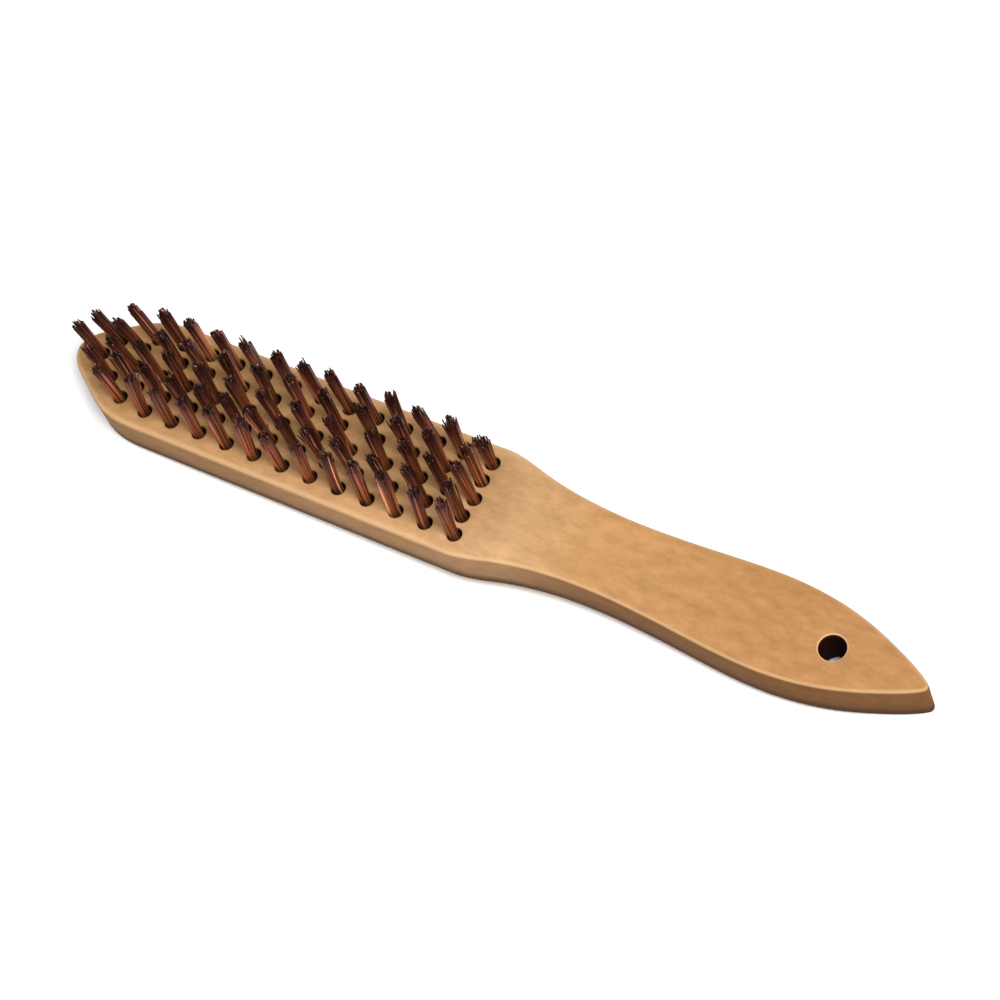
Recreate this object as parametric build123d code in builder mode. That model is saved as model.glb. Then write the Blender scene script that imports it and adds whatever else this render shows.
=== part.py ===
from build123d import *
import math
import os

# Wire scratch brush: one curved wooden block, drilled with five uneven rows of blind
# holes. Each hole holds a tuft of steel wire, folded over a flat anchor driven into the wood.
#
# Frame, in millimetres: the head's flat back lies on Z = 0 and the tufts point up, +Z.
# +X runs along the brush towards the handle's tip. X = 0 is the middle of the near outer row,
# not counting its corner hole at the toe.

# ---------------------------------------------------------------- driving dimensions
overall_length = 291.0       # toe to handle tip, along X
block_thickness = 14.0
head_width = 37.5
neck_width = 24.8            # narrowest place, between the head and the grip
grip_width = 30.0            # widest place of the grip
arris_radius = 1.5           # rounding along the block's upper and lower edges

toe_overhang = 34.0          # from the near outer row's first hole to the toe
toe_taper_length = 32.0      # length over which the head's sides draw in to the toe
toe_shape = [(0.31, 0.58), (0.64, 0.91)]  # along that length, and share of the half width
shoulder_overhang = -0.5     # from the last holes to where the sides start to draw in
tip_radius = 1.7             # the blunt point of the handle
tip_half_angle = 35.0        # how steeply the sides run into that point

handle_drop_angle = 3.4      # the handle falls away from the tufts by this many degrees
handle_bend_length = 42.0    # length of the gentle bend behind the head

hang_hole_diameter = 8.0
hang_hole_from_tip = 29.5

hole_pitch = 10.2            # along a row
row_spacing = 6.2            # between neighbouring rows
corner_hole_y = 11.1         # how far the toe's corner holes are from the middle
outer_row_holes = 12         # in each outer row, without its corner hole at the toe
hole_diameter = 4.6
hole_depth = 9.0

tuft_diameter = 3.4          # at the bottom of its hole
tuft_tip_diameter = 4.0
tuft_height = 20.0           # above the block's face
toe_tuft_height = 16.0       # the same, for the worn tufts from the corner holes to the toe
tuft_mouth_clearance = 0.1   # between a tuft and the toe side of its hole's mouth
tuft_lean = 0.8              # how far a tuft's tip stands off its hole, towards the toe
toe_tuft_lean = 3.4          # the same, for the tufts from the corner holes to the toe

anchor_bite = 0.6            # how far each end of an anchor bites into the wood
anchor_thickness = 0.6
anchor_height = 2.0
anchor_seat = 0.9            # wire folded under the anchor

# ---------------------------------------------------------------- places worked out from them
last_column = outer_row_holes - 1
field_half = last_column * hole_pitch / 2
toe_x = -field_half - toe_overhang
tip_x = toe_x + overall_length
toe_taper_x = toe_x + toe_taper_length
shoulder_x = field_half + shoulder_overhang
bend_angle = math.radians(handle_drop_angle)
bend_radius = handle_bend_length / bend_angle
hole_floor = block_thickness - hole_depth
anchor_length = hole_diameter + 2 * anchor_bite


# Hole places along each row, in hole pitches from the first hole of the near outer row.
# Rows are numbered -2 to 2 across the head, and the centre row reaches furthest into the toe.
# The inner rows are spaced wider towards the handle, so all rows end in one straight column.
corner_place = -1.0          # the first hole of each outer row, drawn in with the toe
row_places = {
    -2: [corner_place] + list(range(outer_row_holes)),
    -1: [-1.7, -0.7, 0.3, 1.3, 2.3, 3.25, 4.2, 5.2, 6.2, 7.25, 8.45, 9.65, 10.9],
    0: [-2.4, -1.15, -0.2, 0.75, 1.85, 3.05, 4.25, 5.45, 6.65, 7.9, 9.1, 10.05, 10.95],
    1: [-2.1, -1.25, 0.15, 1.15, 2.4, 3.55, 4.75, 5.95, 7.25, 8.45, 9.6, 10.85],
    2: [corner_place, -0.1, 0.9, 1.85, 2.85, 3.9, 4.9, 5.9, 6.85, 7.85, 9.0, 9.9, 10.85],
}


def hole_centre(row, place):
    """X and Y of the hole at this place of this row."""
    y = row * row_spacing
    if abs(row) == 2 and place == corner_place:
        y = math.copysign(corner_hole_y, row)
    return (place * hole_pitch - field_half, y)


all_holes = [hole_centre(row, place) for row in row_places for place in row_places[row]]

# Where the handle's side meets the round of its tip, and its direction there.
tip_slope = math.radians(tip_half_angle)
tip_start = (
    tip_x - tip_radius * (1 - math.sin(tip_slope)),
    tip_radius * math.cos(tip_slope),
)
tip_direction = (math.cos(tip_slope), -math.sin(tip_slope))


def between(start, end, share):
    """The value this share of the way from start to end."""
    return start + share * (end - start)


# Stations of the handle's side: share of its length behind the head, and width there.
handle_length = tip_x - shoulder_x
handle_outline = [
    (0.105, between(head_width, neck_width, 0.465)),
    (0.209, between(head_width, neck_width, 0.874)),
    (0.308, neck_width),
    (0.525, between(neck_width, grip_width, 0.615)),
    (0.683, grip_width),
    (0.831, between(0, grip_width, 0.78)),
    (0.925, between(0, grip_width, 0.447)),
]

# The handle's upper face beyond the bend, with its own X along the handle.
bend_end = Vector(
    shoulder_x + (bend_radius + block_thickness) * math.sin(bend_angle),
    0,
    block_thickness - (bend_radius + block_thickness) * (1 - math.cos(bend_angle)),
)
handle_face = Plane(
    origin=bend_end,
    x_dir=(math.cos(bend_angle), 0, -math.sin(bend_angle)),
    z_dir=(math.sin(bend_angle), 0, math.cos(bend_angle)),
)
hang_hole_along = (tip_x - hang_hole_from_tip - bend_end.X) / math.cos(bend_angle)
hang_hole_middle = handle_face.from_local_coords(
    Vector(hang_hole_along, 0, -block_thickness / 2)
)

# ---------------------------------------------------------------- wooden block
past_end = 20.0              # how far the side profile runs past the toe and the tip

with BuildPart() as handle_block:
    # Plan of the block: a drawn-in toe, parallel head sides, a waisted neck and a full grip.
    with BuildSketch(Plane.XY.offset(-block_thickness)):
        with BuildLine():
            toe_curve = [
                (toe_x + along * toe_taper_length, across * head_width / 2)
                for along, across in toe_shape
            ]
            Spline(
                (toe_x, 0), *toe_curve, (toe_taper_x, head_width / 2),
                tangents=[(0, 1), (1, 0)],
            )
            Line((toe_taper_x, head_width / 2), (shoulder_x, head_width / 2))
            handle_curve = [
                (shoulder_x + along * handle_length, width / 2)
                for along, width in handle_outline
            ]
            handle_side = Spline(
                (shoulder_x, head_width / 2), *handle_curve, tip_start,
                tangents=[(1, 0), tip_direction],
            )
            JernArc(handle_side @ 1, tip_direction, tip_radius, tip_half_angle - 90)
            mirror(about=Plane.XZ)
        make_face()
    extrude(amount=3 * block_thickness)

    # Side profile: flat head, a gentle bend, then the straight, falling handle.
    with BuildSketch(Plane.XZ):
        with BuildLine():
            upper_head = Line((toe_x - past_end, block_thickness), (shoulder_x, block_thickness))
            upper_bend = JernArc(
                upper_head @ 1, (1, 0), bend_radius + block_thickness, -handle_drop_angle
            )
            handle_run = (tip_x + past_end - bend_end.X) / math.cos(bend_angle)
            upper_handle = PolarLine(upper_bend @ 1, handle_run, -handle_drop_angle)
            lower_head = Line((toe_x - past_end, 0), (shoulder_x, 0))
            lower_bend = JernArc(lower_head @ 1, (1, 0), bend_radius, -handle_drop_angle)
            lower_handle = PolarLine(lower_bend @ 1, handle_run, -handle_drop_angle)
            Line(upper_handle @ 1, lower_handle @ 1)
            Line(upper_head @ 0, lower_head @ 0)
        make_face()
    extrude(amount=head_width, both=True, mode=Mode.INTERSECT)

    long_edges = edges().filter_by(Axis.Z, reverse=True).filter_by(Axis.Y, reverse=True)
    fillet(long_edges, arris_radius)

    # Blind tuft holes, and the pockets that the anchors' ends bite in their walls.
    with Locations(*[(x, y, block_thickness) for x, y in all_holes]):
        Hole(hole_diameter / 2, hole_depth)
    with Locations(*[(x, y, hole_floor + anchor_seat) for x, y in all_holes]):
        Box(
            anchor_length, anchor_thickness, anchor_height,
            align=(Align.CENTER, Align.CENTER, Align.MIN), mode=Mode.SUBTRACT,
        )

    # Hang hole, square to the handle's face.
    with BuildSketch(handle_face):
        with Locations((hang_hole_along, 0)):
            Circle(hang_hole_diameter / 2)
    extrude(amount=block_thickness, both=True, mode=Mode.SUBTRACT)

os.makedirs("parts", exist_ok=True)
handle_block.part.label = "handle_block"
export_step(handle_block.part, "parts/handle_block.step")


# ---------------------------------------------------------------- tufts and anchors
def make_tuft(row, place):
    """One tuft: shifted to the toe side of its mouth, leaning to the toe, with its anchor's slot."""
    x, y = hole_centre(row, place)
    mouth_radius = tuft_diameter / 2
    mouth_x = x - (hole_diameter / 2 - mouth_radius - tuft_mouth_clearance)
    at_toe = place <= corner_place
    tip_lean = toe_tuft_lean if at_toe else tuft_lean
    height_free = toe_tuft_height if at_toe else tuft_height
    sections = [
        (x, hole_floor, tuft_diameter / 2),
        (mouth_x, block_thickness, mouth_radius),
        (x - tip_lean, block_thickness + height_free, tuft_tip_diameter / 2),
    ]
    with BuildPart() as tuft:
        for centre_x, height, radius in sections:
            with BuildSketch(Plane.XY.offset(height)):
                with Locations((centre_x, y)):
                    Circle(radius)
        loft(ruled=True)
        with Locations((x, y, hole_floor + anchor_seat)):
            Box(
                anchor_length, anchor_thickness, anchor_height,
                align=(Align.CENTER, Align.CENTER, Align.MIN), mode=Mode.SUBTRACT,
            )
    return tuft.part


def make_anchor(row, place):
    """One flat wire anchor: it crosses its hole and bites into the wood at both ends."""
    x, y = hole_centre(row, place)
    with BuildPart() as anchor:
        with Locations((x, y, hole_floor + anchor_seat)):
            Box(
                anchor_length, anchor_thickness, anchor_height,
                align=(Align.CENTER, Align.CENTER, Align.MIN),
            )
    return anchor.part


def write_group(name, solids):
    """Write the separate solids of one node."""
    group = Compound(label=name, children=solids)
    export_step(group, f"parts/{name}.step")


def write_columns(rows, family):
    """Write one tuft node and one anchor node for each place along these rows."""
    depth = max(len(row_places[row]) for row in rows)
    for column in range(1, depth + 1):
        holes = [
            (row, row_places[row][-column]) for row in rows if column <= len(row_places[row])
        ]
        number = depth + 1 - column
        write_group(f"tufts_{family}_{number:02d}", [make_tuft(*hole) for hole in holes])
        write_group(f"anchors_{family}_{number:02d}", [make_anchor(*hole) for hole in holes])


write_columns([-2, 0, 2], "odd_rows")
write_columns([-1, 1], "even_rows")

print(f"tufts {len(all_holes)}")
print(f"toe X {toe_x:.2f}, tip X {tip_x:.2f}, bend radius {bend_radius:.1f}")
print(f"hang hole middle {hang_hole_middle}, axis {handle_face.z_dir}")
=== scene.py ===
# %% [markdown]
# # A wire scratch brush, dressed around its CAD frame
#
# The CAD model holds the sizes: a curved hardwood block, 64 tufts in blind holes, and the flat
# anchors that hold them. This script keeps those places and gives them their looks: a block
# with softened edges and beech grain, and tufts made of single wires.

# %% Load the frame
import math

import bpy
import numpy as np
from mathutils import Matrix, Vector
from mathutils.geometry import delaunay_2d_cdt


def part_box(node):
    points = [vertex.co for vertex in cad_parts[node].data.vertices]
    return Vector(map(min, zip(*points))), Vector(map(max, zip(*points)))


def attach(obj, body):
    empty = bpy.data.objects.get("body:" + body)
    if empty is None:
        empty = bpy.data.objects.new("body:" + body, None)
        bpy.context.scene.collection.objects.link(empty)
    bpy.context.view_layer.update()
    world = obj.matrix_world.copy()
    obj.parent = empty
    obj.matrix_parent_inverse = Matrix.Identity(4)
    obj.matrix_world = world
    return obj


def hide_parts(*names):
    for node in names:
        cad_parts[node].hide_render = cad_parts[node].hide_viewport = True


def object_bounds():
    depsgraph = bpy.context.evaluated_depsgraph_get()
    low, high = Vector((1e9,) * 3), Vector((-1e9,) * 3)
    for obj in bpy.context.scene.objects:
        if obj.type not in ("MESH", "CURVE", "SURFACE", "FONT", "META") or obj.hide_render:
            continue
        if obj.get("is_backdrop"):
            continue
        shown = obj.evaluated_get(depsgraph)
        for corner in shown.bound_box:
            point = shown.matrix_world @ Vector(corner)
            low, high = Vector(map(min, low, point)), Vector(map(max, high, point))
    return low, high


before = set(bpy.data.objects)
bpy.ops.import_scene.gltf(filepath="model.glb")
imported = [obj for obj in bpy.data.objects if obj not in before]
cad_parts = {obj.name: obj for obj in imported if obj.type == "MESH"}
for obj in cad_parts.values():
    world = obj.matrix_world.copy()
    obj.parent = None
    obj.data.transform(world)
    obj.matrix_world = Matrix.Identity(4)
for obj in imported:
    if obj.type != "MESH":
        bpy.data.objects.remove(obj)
cad_low, cad_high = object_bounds()
MM = 0.001
print("CAD box, mm:", [round(v / MM, 2) for v in (*cad_low, *cad_high)])

# %% [markdown]
# ## The camera
#
# The brush is seen from above its handle, a long way off, with the picture turned so that the
# handle points to the lower right. A long lens keeps the perspective gentle. The camera is
# built from a direction (azimuth and elevation), a roll about that direction, and a distance.

# %% Camera
camera_azimuth = math.radians(52.8)
camera_elevation = math.radians(56.0)
camera_roll = math.radians(-26.2)
camera_distance = 0.997
camera_lens_mm = 125.3
camera_target = Vector((62.9, 2.6, 14.0)) * MM


def turned_axes(azimuth, elevation, roll):
    """Right, up and back of a camera: back points from the target to the camera, right is
    level, up is back crossed with right, and the roll then turns right and up about back."""
    back = Vector((
        math.sin(azimuth) * math.cos(elevation),
        -math.cos(azimuth) * math.cos(elevation),
        math.sin(elevation),
    ))
    level = Vector((math.cos(azimuth), math.sin(azimuth), 0))
    upright = back.cross(level)
    right = level * math.cos(roll) + upright * math.sin(roll)
    up = upright * math.cos(roll) - level * math.sin(roll)
    return right, up, back


camera_right, camera_up, camera_back = turned_axes(camera_azimuth, camera_elevation, camera_roll)
camera_data = bpy.data.cameras.new("camera")
camera_data.lens = camera_lens_mm
camera_data.clip_start = 0.05
camera_data.clip_end = 20
camera = bpy.data.objects.new("camera", camera_data)
camera_place = camera_target + camera_back * camera_distance
camera.matrix_world = Matrix((
    (camera_right.x, camera_up.x, camera_back.x, camera_place.x),
    (camera_right.y, camera_up.y, camera_back.y, camera_place.y),
    (camera_right.z, camera_up.z, camera_back.z, camera_place.z),
    (0, 0, 0, 1),
))
bpy.context.scene.collection.objects.link(camera)
bpy.context.scene.camera = camera
print("camera at, mm:", [round(v / MM, 1) for v in camera_place])

# %% [markdown]
# ## The rows of holes
#
# The head is drilled in five rows. The near outer row is evenly spaced and the others less
# evenly, each outer row has one corner hole drawn in at the toe, and all the rows end in one
# nearly straight column. The places are the CAD model's, given in hole pitches from the near
# outer row's first hole after its corner hole. The frame's boxes then check where the middle
# of each group of holes lies along X.

# %% Hole places
hole_pitch = 10.2 * MM
row_spacing = 6.2 * MM
corner_hole_y = 11.1 * MM
outer_row_holes = 12
corner_place = -1.0
row_places = {
    -2: [corner_place] + list(range(outer_row_holes)),
    -1: [-1.7, -0.7, 0.3, 1.3, 2.3, 3.25, 4.2, 5.2, 6.2, 7.25, 8.45, 9.65, 10.9],
    0: [-2.4, -1.15, -0.2, 0.75, 1.85, 3.05, 4.25, 5.45, 6.65, 7.9, 9.1, 10.05, 10.95],
    1: [-2.1, -1.25, 0.15, 1.15, 2.4, 3.55, 4.75, 5.95, 7.25, 8.45, 9.6, 10.85],
    2: [corner_place, -0.1, 0.9, 1.85, 2.85, 3.9, 4.9, 5.9, 6.85, 7.85, 9.0, 9.9, 10.85],
}
field_half = (outer_row_holes - 1) * hole_pitch / 2
hole_radius = 2.3 * MM
block_low, block_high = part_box("handle_block")
face_z = 14.0 * MM


def hole_centre(row, place):
    """X and Y of a hole: its place along the row, and its row's distance from the middle."""
    y = row * row_spacing
    if abs(row) == 2 and place == corner_place:
        y = math.copysign(corner_hole_y, row)
    return (place * hole_pitch - field_half, y)


def holes_by_node(rows, family):
    """The holes of each CAD tuft node: the rows are counted back from their last column."""
    depth = max(len(row_places[row]) for row in rows)
    return {
        f"tufts_{family}_{depth + 1 - back:02d}": [
            (row, row_places[row][-back]) for row in rows if back <= len(row_places[row])
        ]
        for back in range(1, depth + 1)
    }


tuft_nodes = {**holes_by_node([-2, 0, 2], "odd_rows"), **holes_by_node([-1, 1], "even_rows")}
all_holes = np.array([hole_centre(*hole) for holes in tuft_nodes.values() for hole in holes])
anchor_nodes = sorted(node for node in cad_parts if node.startswith("anchors_"))
for node, holes in tuft_nodes.items():
    low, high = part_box(node.replace("tufts", "anchors"))
    hole_x = [hole_centre(*hole)[0] for hole in holes]
    holes_middle = (min(hole_x) + max(hole_x)) / 2
    assert abs((low.x + high.x) / 2 - holes_middle) < 0.01 * MM, node
print("holes:", len(all_holes), "in", len(tuft_nodes), "nodes")

# %% [markdown]
# ## The block's outline
#
# Seen from above, the block is a drawn-in toe, two straight head sides, and a handle that
# waists in, swells to a grip and closes to a blunt point. Each curved stretch is a cubic
# spline through a few stations. A clamped cubic is used because it passes through each
# station with no corner, and starts and ends in a chosen direction.

# %% Outline
head_half_width = (block_high.y - block_low.y) / 2
toe_x, tip_x = block_low.x, block_high.x
toe_taper_length = 32.0 * MM
toe_stations = [(0.31, 0.58), (0.64, 0.91)]          # share of that length, of the half width
shoulder_overhang = -0.5 * MM                         # past the last holes
shoulder_x = field_half + shoulder_overhang
handle_stations = [                                   # share of the handle, half width
    (0.105, 15.8 * MM), (0.209, 13.2 * MM), (0.308, 12.4 * MM), (0.525, 14.0 * MM),
    (0.683, 15.0 * MM), (0.831, 11.7 * MM), (0.925, 6.7 * MM),
]
tip_radius = 1.7 * MM
tip_slope = math.radians(35)


def clamped_spline(points, start_direction, end_direction, per_span=24):
    """A cubic through the points. Each span is a Hermite cubic over its chord length, and the
    tangents solve the equations that make the second derivative continuous at each point."""
    points = np.array(points, float)
    chord = np.linalg.norm(np.diff(points, axis=0), axis=1)
    count = len(points)
    matrix = np.zeros((count, count))
    right_side = np.zeros((count, 2))
    matrix[0, 0] = matrix[-1, -1] = 1
    right_side[0], right_side[-1] = start_direction, end_direction
    for i in range(1, count - 1):
        before, after = chord[i - 1], chord[i]
        matrix[i, i - 1:i + 2] = after, 2 * (before + after), before
        slopes = np.diff(points[i - 1:i + 2], axis=0) / np.array([[before], [after]])
        right_side[i] = 3 * (after * slopes[0] + before * slopes[1])
    tangents = np.linalg.solve(matrix, right_side)
    t = np.linspace(0, 1, per_span, endpoint=False)[None, :, None]
    p0, p1 = points[:-1, None, :], points[1:, None, :]
    m0, m1 = tangents[:-1, None, :] * chord[:, None, None], tangents[1:, None, :] * chord[:, None, None]
    curve = (
        (2 * t**3 - 3 * t**2 + 1) * p0 + (t**3 - 2 * t**2 + t) * m0
        + (3 * t**2 - 2 * t**3) * p1 + (t**3 - t**2) * m1
    )
    return np.vstack([curve.reshape(-1, 2), points[-1:]])


def evenly_spaced(path, step):
    """The same path with its points about one step apart, measured along it."""
    run = np.concatenate([[0], np.cumsum(np.linalg.norm(np.diff(path, axis=0), axis=1))])
    places = np.linspace(0, run[-1], max(2, round(run[-1] / step) + 1))
    return np.stack([np.interp(places, run, path[:, axis]) for axis in (0, 1)], axis=1)


toe_end = (toe_x + toe_taper_length, head_half_width)
toe_curve = clamped_spline(
    [(toe_x, 0)]
    + [(toe_x + a * toe_taper_length, w * head_half_width) for a, w in toe_stations]
    + [toe_end],
    (0, 1), (1, 0),
)
tip_start = (tip_x - tip_radius * (1 - math.sin(tip_slope)), tip_radius * math.cos(tip_slope))
handle_curve = clamped_spline(
    [(shoulder_x, head_half_width)]
    + [(shoulder_x + a * (tip_x - shoulder_x), w) for a, w in handle_stations]
    + [tip_start],
    (1, 0), (math.cos(tip_slope), -math.sin(tip_slope)),
)
tip_turn = np.linspace(math.pi / 2 - tip_slope, 0, 12)
tip_arc = np.stack(
    [tip_x - tip_radius + tip_radius * np.cos(tip_turn), tip_radius * np.sin(tip_turn)], axis=1
)
outline_step = 1.0 * MM
upper_half = evenly_spaced(np.vstack([toe_curve, handle_curve, tip_arc[1:]]), outline_step)
lower_half = upper_half[::-1][1:-1] * (1, -1)
outline = np.vstack([upper_half, lower_half])[::-1]    # anticlockwise, seen from above
print("outline points:", len(outline))


def outward_normals(loop):
    """Unit normals of a closed anticlockwise loop: its central-difference tangent, turned."""
    tangent = np.roll(loop, -1, axis=0) - np.roll(loop, 1, axis=0)
    tangent /= np.linalg.norm(tangent, axis=1)[:, None]
    return np.stack([tangent[:, 1], -tangent[:, 0]], axis=1)


outline_normals = outward_normals(outline)

# %% [markdown]
# ## The fall of the handle
#
# Behind the head the block bends gently away from the wires, then runs straight. The upper and
# lower faces are arcs about one centre, so the board keeps its thickness through the bend.

# %% Heights
drop_angle = math.radians(3.4)
bend_radius = 42.0 * MM / drop_angle
block_thickness = face_z


def face_height(x, above_back):
    """Height of the face that lies this far above the block's back: level along the head,
    then an arc about a centre one bend radius below the back, then its falling tangent."""
    radius = bend_radius + above_back
    behind = np.clip(np.asarray(x, float) - shoulder_x, 0, None)
    arc_end = radius * math.sin(drop_angle)
    on_arc = np.minimum(behind, arc_end)
    drop = radius - np.sqrt(radius**2 - on_arc**2)
    return above_back - drop - (behind - on_arc) * math.tan(drop_angle)


def top_height(x):
    """Height of the face that holds the tufts."""
    return face_height(x, block_thickness)


def back_height(x):
    """Height of the back."""
    return face_height(x, 0.0)


print("handle tip, back, mm:", round(float(back_height(tip_x)) / MM, 2))

# %% [markdown]
# ## A mesh made of parts
#
# The block's surface is built from rings of points joined by strips of quads, plus two flat
# faces full of holes. A small collector keeps the arrays and joins them into one closed mesh.

# %% Mesh collector
class Surface:
    """Collects points, faces and one value per point for each named attribute."""

    def __init__(self, attribute_names):
        self.points, self.faces = [], []
        self.values = {name: [] for name in attribute_names}
        self.count = 0

    def add_points(self, points, **values):
        """Adds points and returns their numbers. A missing attribute is 0."""
        points = np.asarray(points, float)
        self.points.append(points)
        for name, collected in self.values.items():
            collected.append(np.broadcast_to(np.asarray(values.get(name, 0.0), float), len(points)))
        numbers = np.arange(self.count, self.count + len(points))
        self.count += len(points)
        return numbers

    def add_strip(self, lower, upper):
        """Quads between two closed rings. Faces look away from the axis when the rings run
        anticlockwise and lower is below upper, and towards it when they are swapped."""
        self.faces += np.stack(
            [lower, np.roll(lower, -1), np.roll(upper, -1), upper], axis=1
        ).tolist()

    def make(self, name, material, smooth_degrees):
        """One mesh object with its attributes and smooth shading up to an angle."""
        mesh = bpy.data.meshes.new(name)
        mesh.from_pydata(np.vstack(self.points), [], self.faces)
        for attribute_name, collected in self.values.items():
            attribute = mesh.attributes.new(attribute_name, "FLOAT", "POINT")
            attribute.data.foreach_set("value", np.concatenate(collected).astype(np.float32))
        mesh.polygons.foreach_set("use_smooth", np.ones(len(mesh.polygons), bool))
        mesh.set_sharp_from_angle(angle=math.radians(smooth_degrees))
        mesh.materials.append(material)
        mesh.update()
        piece = bpy.data.objects.new(name, mesh)
        bpy.context.scene.collection.objects.link(piece)
        return piece


# %% [markdown]
# ## Shader helpers
#
# Wood and wire are both built from a few texture nodes. These helpers add a node, join two
# sockets and make a colour ramp, so each material below reads as a list of layers.

# %% Shader helpers
def new_material(name, roughness, metallic=0.0):
    """An empty node material with one Principled shader. Returns material, shader."""
    material = bpy.data.materials.new(name)
    material.use_nodes = True
    shader = material.node_tree.nodes["Principled BSDF"]
    shader.inputs["Roughness"].default_value = roughness
    shader.inputs["Metallic"].default_value = metallic
    return material, shader


def join(material, output, socket):
    """Joins an output to an input."""
    material.node_tree.links.new(output, socket)


def stretched_coordinates(material, stretch):
    """Object coordinates multiplied by a scale for each axis."""
    nodes = material.node_tree.nodes
    where = nodes.new("ShaderNodeTexCoord")
    mapping = nodes.new("ShaderNodeMapping")
    mapping.inputs["Scale"].default_value = stretch
    join(material, where.outputs["Object"], mapping.inputs["Vector"])
    return mapping.outputs["Vector"]


def noise(material, stretch, detail=3.0, roughness=0.5, distortion=0.0):
    """A noise field over stretched Object coordinates."""
    node = material.node_tree.nodes.new("ShaderNodeTexNoise")
    node.inputs["Scale"].default_value = 1.0
    node.inputs["Detail"].default_value = detail
    node.inputs["Roughness"].default_value = roughness
    node.inputs["Distortion"].default_value = distortion
    join(material, stretched_coordinates(material, stretch), node.inputs["Vector"])
    return node.outputs["Fac"]


def ramp(material, value, stops):
    """A colour ramp with (position, linear RGB) stops."""
    node = material.node_tree.nodes.new("ShaderNodeValToRGB")
    elements = node.color_ramp.elements
    while len(elements) < len(stops):
        elements.new(0.5)
    for element, (position, colour) in zip(elements, stops):
        element.position = position
        element.color = (*colour, 1)
    join(material, value, node.inputs["Fac"])
    return node.outputs["Color"]


def grey(level):
    """A neutral colour."""
    return (level, level, level)


def mix(material, kind, share, first, second):
    """Mixes two colours. share is a number or an output."""
    node = material.node_tree.nodes.new("ShaderNodeMix")
    node.data_type = "RGBA"
    node.blend_type = kind
    if isinstance(share, (int, float)):
        node.inputs["Factor"].default_value = share
    else:
        join(material, share, node.inputs["Factor"])
    for socket, value in ((node.inputs[6], first), (node.inputs[7], second)):
        if isinstance(value, tuple):
            socket.default_value = (*value, 1)
        else:
            join(material, value, socket)
    return node.outputs[2]


def attribute(material, name):
    """A value stored on the piece's points."""
    node = material.node_tree.nodes.new("ShaderNodeAttribute")
    node.attribute_name = name
    return node.outputs["Fac"]


def bump(material, shader, height, strength, distance):
    """Lights the surface as if it had this height."""
    node = material.node_tree.nodes.new("ShaderNodeBump")
    node.inputs["Strength"].default_value = strength
    node.inputs["Distance"].default_value = distance
    join(material, height, node.inputs["Height"])
    join(material, node.outputs["Normal"], shader.inputs["Normal"])


# %% [markdown]
# ## Beech
#
# The block is bare, sanded beech: warm tan, with faint long figure, and the short dark flecks
# that beech shows wherever it is cut. Stretching one noise field along X makes the figure, and
# thresholding a much finer one makes the flecks. Point attributes, set by the shape, carry painted
# light and shade: painted shade on the side wall, more on the handle than on the head, a painted
# contact shadow along the back edge, a painted highlight on the arrises, painted light at the neck
# with painted shade at the toe and towards the tip, and painted shade inside the drilled holes.

# %% Wood material
def beech():
    """Layers: broad tone, painted light and shade along the block, long figure, mottle, flecks,
    painted shade on the side wall, painted shadow along the back edge, painted highlight on the
    arrises, painted shade in the holes."""
    material, shader = new_material("beech", roughness=0.55)
    shader.inputs["Specular IOR Level"].default_value = 0.03
    tone = ramp(material, noise(material, (9, 26, 26), detail=2), [
        (0.30, (0.445, 0.243, 0.098)), (0.70, (0.540, 0.304, 0.140)),
    ])
    # painted light and shade along the block: dim at the toe, bright at the neck, dim at the tip
    to_tip = ramp(material, attribute(material, "to_tip"), [
        (0.0, grey(0.82)), (0.45, (1.0, 1.04, 1.12)), (0.56, (1.06, 1.15, 1.33)),
        (0.63, (0.95, 0.93, 0.90)), (0.71, (0.86, 0.82, 0.74)), (0.83, (0.76, 0.69, 0.61)),
        (1.0, (0.76, 0.69, 0.61)),
    ])
    figure = ramp(material, noise(material, (14, 260, 260), detail=4, distortion=0.6), [
        (0.34, grey(0.92)), (0.66, grey(1.0)),
    ])
    mottle = ramp(material, noise(material, (170, 330, 330), detail=4, roughness=0.6), [
        (0.32, (0.84, 0.83, 0.80)), (0.68, (1.06, 1.05, 1.04)),
    ])
    flecks = ramp(material, noise(material, (420, 2600, 2600), detail=1), [
        (0.28, grey(0.78)), (0.40, grey(1.0)),
    ])
    wood = mix(material, "MULTIPLY", 1.0, tone, to_tip)
    wood = mix(material, "MULTIPLY", 1.0, wood, figure)
    wood = mix(material, "MULTIPLY", 1.0, wood, mottle)
    wood = mix(material, "MULTIPLY", 0.6, wood, flecks)
    # painted shade: a darker copy of the wood, laid on the side wall by the side value
    shaded = mix(material, "MULTIPLY", 1.0, wood, (0.42, 0.37, 0.32))
    wood = mix(material, "MIX", attribute(material, "side"), wood, shaded)
    # painted contact shadow along the back edge and the foot of the wall
    wood = mix(material, "MIX", attribute(material, "grime"), wood, (0.050, 0.022, 0.012))
    # painted highlight on the upper arris and the hang hole's rims
    wood = mix(material, "MIX", attribute(material, "arris"), wood, (0.72, 0.46, 0.26))
    # painted shade inside the drilled holes
    wood = mix(material, "MIX", attribute(material, "scorch"), wood, (0.020, 0.005, 0.003))
    join(material, wood, shader.inputs["Base Color"])
    bump(material, shader, noise(material, (220, 2600, 2600), detail=2), 0.22, 0.0002)
    return material


wood_material = beech()

# %% [markdown]
# ## The block
#
# The side wall and its two rounded arrises are one set of rings: each ring is the outline moved
# inwards and up. The head was rounded over more generously than the handle, so the arris
# radius eases from one to the other at the shoulder. The two faces are filled by a constrained
# triangulation, which keeps every hole's rim, and then the holes get walls and floors.

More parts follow.
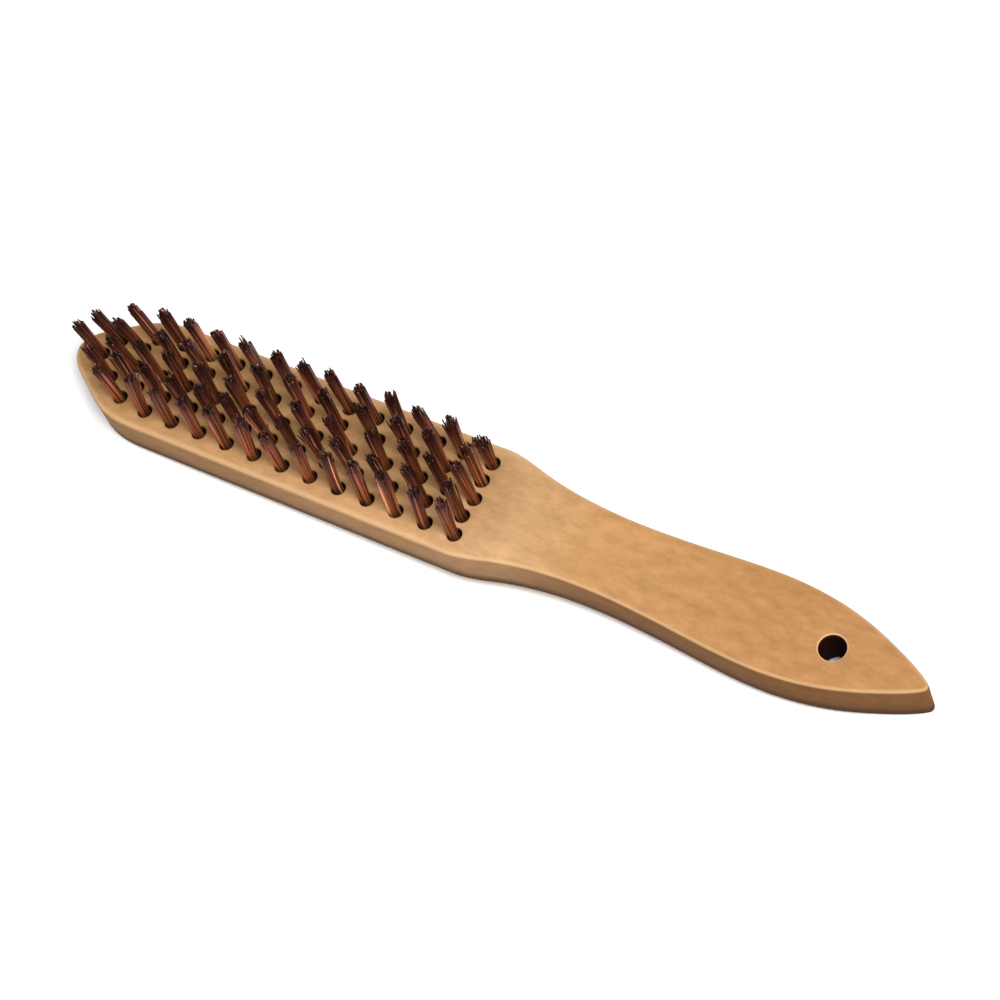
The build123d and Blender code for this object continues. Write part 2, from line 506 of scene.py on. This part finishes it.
# %% Block sizes
head_arris = 1.9 * MM
handle_arris = 1.1 * MM
back_arris = 1.5 * MM
arris_steps = 6
hole_points = 28
hole_rim = 0.22 * MM
hole_depth = 9.0 * MM
hang_hole_radius = 4.0 * MM
hang_hole_from_tip = 29.5 * MM
hang_rims = {1: 0.45 * MM, -1: 0.15 * MM}             # at the face with the tufts, at the back
fill_spacing = 4.0 * MM


def eased(value, start, end):
    """0 before start, 1 after end, and a smooth cubic step between."""
    t = np.clip((value - start) / (end - start), 0, 1)
    return t * t * (3 - 2 * t)


shoulder_blend = 8 * MM
side_shade_ramp = 60 * MM                              # from the shoulder to the full painted side shade
head_side_shade = 0.62                                   # painted shade of the head's side wall, the grip's is 1
arris_highlight = 0.42                                      # painted highlight, in the middle of the upper arris
back_grime = 0.95                                     # painted contact shadow, where the back arris meets the wall
wall_grime = [(0.12, 0.75), (0.3, 0.20), (0.65, 0.0)]   # (share up the wall, painted contact shadow)
top_arris = head_arris + (handle_arris - head_arris) * eased(
    outline[:, 0], shoulder_x - shoulder_blend, shoulder_x + shoulder_blend
)


# %% Rings of the side
def side_rings():
    """(points, arris, side, grime) of each ring, from the back's edge up to the face's edge.

    On an arris turned by an angle a, a ring lies r(1 - sin a) inside the outline and
    r(1 - cos a) short of the face, with r the arris radius there. The arris value is a painted
    highlight, the side value is painted shade on the wall, and the last value is a painted contact
    shadow, strongest where the back arris meets the wall."""
    rings = []
    turns = np.linspace(0, math.pi / 2, arris_steps + 1)
    # painted shade of the side wall: the head's share, easing to full along the handle
    on_handle = eased(outline[:, 0], shoulder_x, shoulder_x + side_shade_ramp)
    held = head_side_shade + (1 - head_side_shade) * on_handle
    # back arris: painted side shade and painted contact shadow grow towards the wall
    for turn in turns:
        flat = outline - outline_normals * (back_arris * (1 - math.sin(turn)))
        rise = back_arris * (1 - math.cos(turn))
        rings.append((
            np.column_stack([flat, back_height(flat[:, 0]) + rise]),
            0.0, held * math.sin(turn), back_grime * math.sin(turn),
        ))
    wall_low = rings[-1][0]
    wall_high_z = top_height(outline[:, 0]) - top_arris
    # wall: painted side shade, and a painted contact shadow darker towards the back
    for share, grime in wall_grime:
        z = wall_low[:, 2] + share * (wall_high_z - wall_low[:, 2])
        rings.append((np.column_stack([outline, z]), 0.0, held, grime))
    # upper arris: a painted highlight in its middle, the painted side shade fading towards the face
    for turn in turns[::-1]:
        inset = (top_arris * (1 - math.sin(turn)))[:, None]
        flat = outline - outline_normals * inset
        fall = top_arris * (1 - math.cos(turn))
        rings.append((
            np.column_stack([flat, top_height(flat[:, 0]) - fall]),
            arris_highlight * math.sin(2 * turn) ** 2, held * math.sin(turn) ** 3, 0.0,
        ))
    return rings


# %% Filling a face with holes
def circle(centre, radius, count=hole_points):
    """An anticlockwise ring of points in plan."""
    turn = np.linspace(0, 2 * math.pi, count, endpoint=False)
    return np.array(centre) + radius * np.stack([np.cos(turn), np.sin(turn)], axis=1)


def inside(points, loop):
    """Which points a closed loop holds: a ray along X crosses it an odd number of times."""
    x, y = points[:, 0][:, None], points[:, 1][:, None]
    x0, y0 = loop[:, 0][None], loop[:, 1][None]
    x1, y1 = np.roll(loop[:, 0], -1)[None], np.roll(loop[:, 1], -1)[None]
    spans = (y0 > y) != (y1 > y)
    with np.errstate(divide="ignore", invalid="ignore"):
        crossing = x0 + (y - y0) * (x1 - x0) / (y1 - y0)
    return (np.sum(spans & (x < crossing), axis=1) % 2) == 1


def fill_points(edge, rims):
    """A grid of inner points that stays clear of the edge and of every rim."""
    low, high = edge.min(0), edge.max(0)
    xs = np.arange(low[0], high[0], fill_spacing)
    ys = np.arange(low[1], high[1], fill_spacing)
    grid = np.stack(np.meshgrid(xs, ys), axis=-1).reshape(-1, 2)
    grid = grid[inside(grid, edge)]
    taken = np.vstack([edge, *rims])
    gap = np.min(np.linalg.norm(grid[:, None] - taken[None], axis=2), axis=1)
    held = np.zeros(len(grid), bool)
    for rim in rims:
        held |= inside(grid, rim)
    return grid[(gap > fill_spacing / 4) & ~held]


def triangles_between(edge, rims):
    """(points, triangles) of the face inside edge and outside the rims. The first points are
    the edge's and then each rim's, in order, and the triangles run anticlockwise."""
    loops = [edge, *rims]
    points = np.vstack([*loops, fill_points(edge, rims)])
    constraints, start = [], 0
    for loop in loops:
        numbers = np.arange(start, start + len(loop))
        constraints += np.stack([numbers, np.roll(numbers, -1)], axis=1).tolist()
        start += len(loop)
    flat = [Vector(point) for point in (points / MM).tolist()]
    found = delaunay_2d_cdt(flat, constraints, [], 0, 1e-7)
    source = np.array([group[0] for group in found[3]])
    triangles = source[np.array(found[2])]
    middle = points[triangles].mean(axis=1)
    keep = inside(middle, edge)
    for rim in rims:
        keep &= ~inside(middle, rim)
    triangles = triangles[keep]
    a, b, c = (points[triangles[:, i]] for i in range(3))
    turn = (b - a)[:, 0] * (c - a)[:, 1] - (b - a)[:, 1] * (c - a)[:, 0]
    triangles[turn < 0] = triangles[turn < 0][:, ::-1]
    return points, triangles


# %% Build the block
def hang_circle(radius, above_back):
    """A ring of the hang hole, square to the falling handle. It is a circle in the handle's
    own plane, so its X is shortened by the drop angle's cosine and it leans with the bore."""
    centre_x = tip_x - hang_hole_from_tip
    middle = float(face_height(centre_x, block_thickness / 2))
    along = np.array([math.cos(drop_angle), 0, -math.sin(drop_angle)])
    out = np.array([math.sin(drop_angle), 0, math.cos(drop_angle)])
    turn = np.linspace(0, 2 * math.pi, 2 * hole_points, endpoint=False)[:, None]
    centre = np.array([centre_x, 0, middle]) + out * (above_back - block_thickness / 2)
    return centre + radius * (np.cos(turn) * along + np.sin(turn) * np.array([0, 1, 0]))


def to_tip(points):
    """0 at the toe and 1 at the tip, for the painted light and shade along the block."""
    return (np.asarray(points)[:, 0] - toe_x) / (tip_x - toe_x)


def build_block():
    """The whole block as one closed mesh."""
    block = Surface(["arris", "scorch", "side", "grime", "to_tip"])
    rings = side_rings()
    ring_numbers = [
        block.add_points(points, arris=arris, side=side, grime=grime, to_tip=to_tip(points))
        for points, arris, side, grime in rings
    ]
    for lower, upper in zip(ring_numbers[:-1], ring_numbers[1:]):
        block.add_strip(lower, upper)
    add_face(block, ring_numbers[-1], rings[-1][0], top_height, 1, all_holes)
    add_face(block, ring_numbers[0], rings[0][0], back_height, -1, [])
    return block


def add_face(block, edge_numbers, edge_points, height, side, holes):
    """One broad face. side is 1 for the face with the tufts and -1 for the back."""
    rim_outer = hole_radius + hole_rim
    tuft_rims = [circle(hole, rim_outer) for hole in holes]
    face_level = block_thickness if side > 0 else 0.0
    hang_ring = hang_circle(hang_hole_radius + hang_rims[side], face_level)
    rims = tuft_rims + [hang_ring[:, :2]]
    plan, triangles = triangles_between(edge_points[:, :2], rims)
    own = plan[len(edge_points):]
    own_z = height(own[:, 0])
    numbers = block.add_points(np.column_stack([own, own_z]), to_tip=to_tip(own))
    lookup = np.concatenate([edge_numbers, numbers])
    block.faces += lookup[triangles[:, ::side]].tolist()
    start = len(edge_points)
    for hole in holes:
        rim = lookup[start:start + hole_points]
        add_blind_hole(block, rim, hole)
        start += hole_points
    rim = lookup[start:start + 2 * hole_points]
    add_hang_half(block, rim, face_level, side)


def add_blind_hole(block, rim, centre):
    """Rounds the rim over, runs the wall down, and closes the floor."""
    # (widening, depth, painted shade inside the hole)
    levels = [
        (hole_rim * 0.35, -hole_rim * 0.35, 0.10),
        (0, -hole_rim, 0.35),
        (0, -0.8 * MM, 0.80),
        (0, -2.5 * MM, 1.0),
        (0, -hole_depth, 1.0),
    ]
    above = rim
    for wider, depth, scorch in levels:
        plan = circle(centre, hole_radius + wider)
        ring = block.add_points(
            np.column_stack([plan, np.full(len(plan), face_z + depth)]), scorch=scorch
        )
        block.add_strip(above, ring)
        above = ring
    floor_middle = block.add_points([(*centre, face_z - hole_depth)], scorch=1.0)[0]
    block.faces += [
        [int(a), int(b), int(floor_middle)] for a, b in zip(above, np.roll(above, -1))
    ]


hang_seam = []


def add_hang_half(block, rim, face_level, side):
    """Half of the hang hole, from one face to the middle of the board."""
    own_rim = hang_rims[side]
    # (widening, depth, painted highlight on the rim, painted shade in the bore)
    levels = [
        (own_rim * 0.35, own_rim * 0.35, 0.9, 0.0), (0, own_rim, 0.0, 0.9),
        (0, 1.2 * MM, 0.0, 1.0), (0, 3.0 * MM, 0.0, 1.0),
    ]
    above = rim
    for wider, depth, rim_highlight, scorch in levels:
        ring = block.add_points(
            hang_circle(hang_hole_radius + wider, face_level - side * depth),
            arris=rim_highlight, scorch=scorch,
        )
        if side > 0:
            block.add_strip(above, ring)
        else:
            block.add_strip(ring, above)
        above = ring
    hang_seam.append(above)
    if side < 0:
        block.add_strip(hang_seam[0], hang_seam[1])


block_piece = build_block().make("handle_block_wood", wood_material, 42)
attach(block_piece, "root")
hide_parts("handle_block")
print("block faces:", len(block_piece.data.polygons))

# %% [markdown]
# ## Spring wire
#
# The wires are hard steel with a thin coppery skin: orange-brown where they come out of the
# wood, darker above, and nearly black at the cut tips. Each wire has its own tone, so a tuft
# shows as a bundle, and the brightest wires carry a painted pinkish-silver highlight. Two point
# attributes carry this: how far along the wire a point is, and the wire's own tone.

# %% Wire material
def spring_wire():
    """Colour from the place along the wire, times the wire's own tone, whose brightest stops
    are a painted highlight; metal with a soft gloss.
    """
    material, shader = new_material("spring_wire", roughness=0.42, metallic=0.7)
    along = ramp(material, attribute(material, "along"), [
        (0.0, (0.37, 0.140, 0.054)), (0.30, (0.30, 0.098, 0.044)),
        (0.70, (0.21, 0.063, 0.035)), (1.0, (0.065, 0.020, 0.014)),
    ])
    # each wire's own tone; the stops above 1 are a painted pinkish-silver highlight
    tone_and_glint = ramp(material, attribute(material, "tone"), [
        (0.0, (0.30, 0.28, 0.28)), (0.50, (0.85, 0.80, 0.80)),
        (0.86, (1.7, 1.6, 1.6)), (1.0, (4.2, 6.0, 7.0)),
    ])
    join(material, mix(material, "MULTIPLY", 1.0, along, tone_and_glint), shader.inputs["Base Color"])
    bump(material, shader, noise(material, (2500, 2500, 500), detail=2), 0.25, 0.00005)
    return material


wire_material = spring_wire()

# %% [markdown]
# ## Tufts of wire
#
# A tuft is a bundle of wires folded over its anchor. Its wires start close together, come out of
# the hole against the side nearest the toe, and spread a little on the way up. Cutting and use
# leave them uneven, so each wire gets its own length, a slight curve, and now and then one
# that strays. Each wire is a five-sided tube with few rings, because there are thousands.

# %% Tuft sizes
wires_per_tuft = 42
wire_radius = 0.23 * MM
wire_sides = 5
free_height = 19.8 * MM
root_depth = 7.6 * MM
ring_depths = np.array([-1.0, -0.32, -0.06])          # shares of the root depth, in the hole
ring_rises = np.array([0.10, 0.28, 0.48, 0.68, 0.86, 1.0])   # shares of each wire's length
mouth_shift = 0.48 * MM                               # towards the toe
bundle_radius_root = 1.55 * MM
bundle_radius_tip = 1.90 * MM
golden_turn = math.pi * (3 - math.sqrt(5))
toe_lean = -5.5 * MM                                  # of the tufts from the corner holes on
upright_lean = -0.8 * MM                              # of the others
near_row_lean = np.array([1.0, 0.9]) * MM             # added to the near row's
lean_scatter_x = 0.6 * MM
lean_scatter_y = 0.5 * MM
toe_height_share = 0.8                                # those tufts are worn shorter
frayed = {(2, 10.85): (0.72, 1.6), (2, 9.9): (0.95, 1.35)}   # hole: (height share, spread)
shortest_cut = 0.93                                   # a tuft's cut height, as a share
longest_cut = 1.0
shortest_wire = 0.6                                   # a wire's length, as a share of its tuft's
ragged_wear = 1.25 * MM                               # how unevenly its wires have worn
rim_wear = 1.3 * MM                                   # how much shorter its outer wires are
curve_size = 0.28 * MM                                # typical bow of a wire
stray_share = 0.12                                    # of the wires
stray_size = 1.0 * MM                                 # typical distance of a stray wire's tip
cut_roughness = 0.12 * MM                             # of one wire's cut end


def tuft_lean(row, place, random):
    """How far a tuft's tip stands off its hole in X and Y: toe tufts splay towards the toe, the
    others stand nearly upright, and each has a little of its own. The near row leans inwards."""
    lean_x = toe_lean if place <= corner_place else upright_lean
    lean_x += random.normal(0, lean_scatter_x)
    lean_y = random.normal(0, lean_scatter_y)
    lean = np.array([lean_x, lean_y])
    return lean + near_row_lean if row == -2 else lean


def bundle(row, place, random):
    """All wires of one tuft: (ring points, along, tone). A wire starts on a sunflower spiral,
    and its centre line is bundle shift + spread of its place + curve + stray, by height."""
    hole = hole_centre(row, place)
    count = wires_per_tuft
    number = np.arange(count)
    spiral = np.sqrt((number + 0.5) / count)
    turn = number * golden_turn + random.uniform(0, 2 * math.pi)
    spot = np.stack([np.cos(turn), np.sin(turn)], axis=1) * spiral[:, None]
    lean = tuft_lean(row, place, random)
    ragged = np.abs(random.normal(0, ragged_wear, count)) + rim_wear * spiral**2
    height_share, spread = frayed.get((row, place), (1.0, 1.0))
    full = free_height * (toe_height_share if place <= corner_place else height_share)
    cut = full * random.uniform(shortest_cut, longest_cut)
    length = np.clip(cut - ragged, shortest_wire * full, full)

    rise = np.concatenate([
        np.broadcast_to(ring_depths * root_depth, (count, len(ring_depths))),
        ring_rises[None] * length[:, None],
    ], axis=1)
    share = np.clip(rise / free_height, 0, 1)
    in_hole = np.clip(1 + rise / root_depth, 0, 1)
    shift_x = -mouth_shift * in_hole + (lean[0] + mouth_shift) * share**1.15
    shift_y = lean[1] * share
    radius = bundle_radius_root + (bundle_radius_tip * spread - bundle_radius_root) * share
    centre = np.stack([
        hole[0] + shift_x + radius * spot[:, :1],
        hole[1] + shift_y + radius * spot[:, 1:],
    ], axis=-1)
    curve_way = random.normal(0, curve_size, (count, 1, 2))
    centre += curve_way * (share * (1 - 0.4 * share))[..., None]
    strays = random.random(count) < stray_share
    stray_way = random.normal(0, stray_size, (count, 1, 2)) * strays[:, None, None]
    centre += stray_way * (share**2)[..., None]

    side = np.linspace(0, 2 * math.pi, wire_sides, endpoint=False)
    around = wire_radius * np.stack([np.cos(side), np.sin(side)], axis=1)
    rings = len(ring_depths) + len(ring_rises)
    points = np.empty((count, rings, wire_sides, 3))
    points[..., :2] = centre[:, :, None] + around[None, None]
    points[..., 2] = (face_z + rise)[:, :, None]
    points[:, -1, :, 2] += random.normal(0, cut_roughness, (count, wire_sides))
    points[..., 2] = np.minimum(points[..., 2], cad_high.z)
    along = np.broadcast_to(np.clip(rise / length[:, None], 0, 1)[:, :, None], points.shape[:3])
    tone = np.broadcast_to(random.random(count)[:, None, None], points.shape[:3])
    return points, along, tone


def wire_faces(wires, rings):
    """Quads of every wire's side, and its two end caps, as lists of point numbers."""
    size = rings * wire_sides
    ring, side = np.meshgrid(np.arange(rings - 1), np.arange(wire_sides), indexing="ij")
    here = ring * wire_sides + side
    beside = ring * wire_sides + (side + 1) % wire_sides
    quads = np.stack([here, beside, beside + wire_sides, here + wire_sides], axis=-1)
    start = np.arange(wires)[:, None] * size
    sides = (quads.reshape(-1, 4)[None] + start[..., None]).reshape(-1, 4)
    tips = start + np.arange(size - wire_sides, size)[None]
    roots = start + np.arange(wire_sides)[::-1][None]
    return sides.tolist() + tips.tolist() + roots.tolist()


def make_tufts(node, holes, random):
    """One piece that stands for a CAD tuft node, with all the wires of its holes."""
    surface = Surface(["along", "tone"])
    bundles = [bundle(row, place, random) for row, place in holes]
    points, along, tone = (np.concatenate(part) for part in zip(*bundles))
    surface.add_points(points.reshape(-1, 3), along=along.ravel(), tone=tone.ravel())
    surface.faces = wire_faces(len(points), points.shape[1])
    piece = surface.make(node.replace("tufts", "wires"), wire_material, 50)
    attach(piece, "root")
    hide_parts(node)
    return piece


# %% Build every tuft
random = np.random.default_rng(20)
tuft_pieces = [
    make_tufts(node, holes, random) for node, holes in sorted(tuft_nodes.items())
]
print("tuft pieces:", len(tuft_pieces), "faces:", sum(len(p.data.polygons) for p in tuft_pieces))

# %% [markdown]
# ## Anchors
#
# The flat anchors are sealed in the wood, so they keep their CAD shape and only get a plain
# drawn-steel finish, with fine lines along the wire that they were cut from.

# %% Anchor material
def drawn_steel():
    """Grey steel with fine lines along X."""
    material, shader = new_material("drawn_steel", roughness=0.4, metallic=1.0)
    lines = ramp(material, noise(material, (60, 4000, 4000), detail=2), [
        (0.3, grey(0.42)), (0.7, grey(0.58)),
    ])
    join(material, lines, shader.inputs["Base Color"])
    return material


anchor_material = drawn_steel()
for node in anchor_nodes:
    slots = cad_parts[node].material_slots
    for material_slot in slots:
        material_slot.material = anchor_material
print("anchor nodes:", len(anchor_nodes))

# %% [markdown]
# ## Floor and light
#
# The brush lies on its back on a white table. Its handle falls away from the wires, so it touches
# the table at the toe and at the handle's tip, like a bridge: the floor passes through those
# two places. One large soft light, high beyond the handle's tip, gives the top its even
# brightness. A weak one beyond the toe and a white world fill the rest.

# %% Floor
toe_foot = Vector((toe_x, 0, float(back_height(toe_x))))
tip_foot = Vector((tip_x, 0, float(back_height(tip_x))))
floor_size = 6.0
along_floor = (tip_foot - toe_foot).normalized()
floor_middle = (toe_foot + tip_foot) / 2
floor_mesh = bpy.data.meshes.new("floor")
corners = [
    floor_middle + along_floor * (floor_size * a) + Vector((0, floor_size * b, 0))
    for a, b in ((-1, -1), (1, -1), (1, 1), (-1, 1))
]
floor_mesh.from_pydata(corners, [], [(0, 1, 2, 3)])
floor = bpy.data.objects.new("floor", floor_mesh)
bpy.context.scene.collection.objects.link(floor)
floor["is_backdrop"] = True
floor_material, floor_shader = new_material("white_table", roughness=0.8)
table_white = 0.93
floor_shader.inputs["Base Color"].default_value = (table_white, table_white, table_white, 1)
floor_mesh.materials.append(floor_material)

# %% Lights
def soft_light(name, place, size, power, colour):
    """A square area light aimed at the middle of the brush."""
    data = bpy.data.lights.new(name, "AREA")
    data.size = size
    data.energy = power
    data.color = colour
    light = bpy.data.objects.new(name, data)
    middle = (cad_low + cad_high) / 2
    light.location = middle + Vector(place)
    light.rotation_mode = "QUATERNION"
    light.rotation_quaternion = (middle - light.location).to_track_quat("-Z", "Y")
    bpy.context.scene.collection.objects.link(light)
    return light


soft_light("key", (1.08, -0.26, 1.58), 0.8, 41, (1.0, 0.985, 0.96))
soft_light("fill", (-0.9, -0.5, 1.2), 1.2, 7, (0.96, 0.98, 1.0))

world = bpy.data.worlds.new("studio")
bpy.context.scene.world = world
world.use_nodes = True
background = world.node_tree.nodes["Background"]
background.inputs["Color"].default_value = (1, 1, 1, 1)
background.inputs["Strength"].default_value = 0.55
bpy.context.scene.view_settings.view_transform = "Standard"

# %% Sizes of the finished scene
low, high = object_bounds()
print("visual box, mm:", [round(v / MM, 2) for v in (*low, *high)])
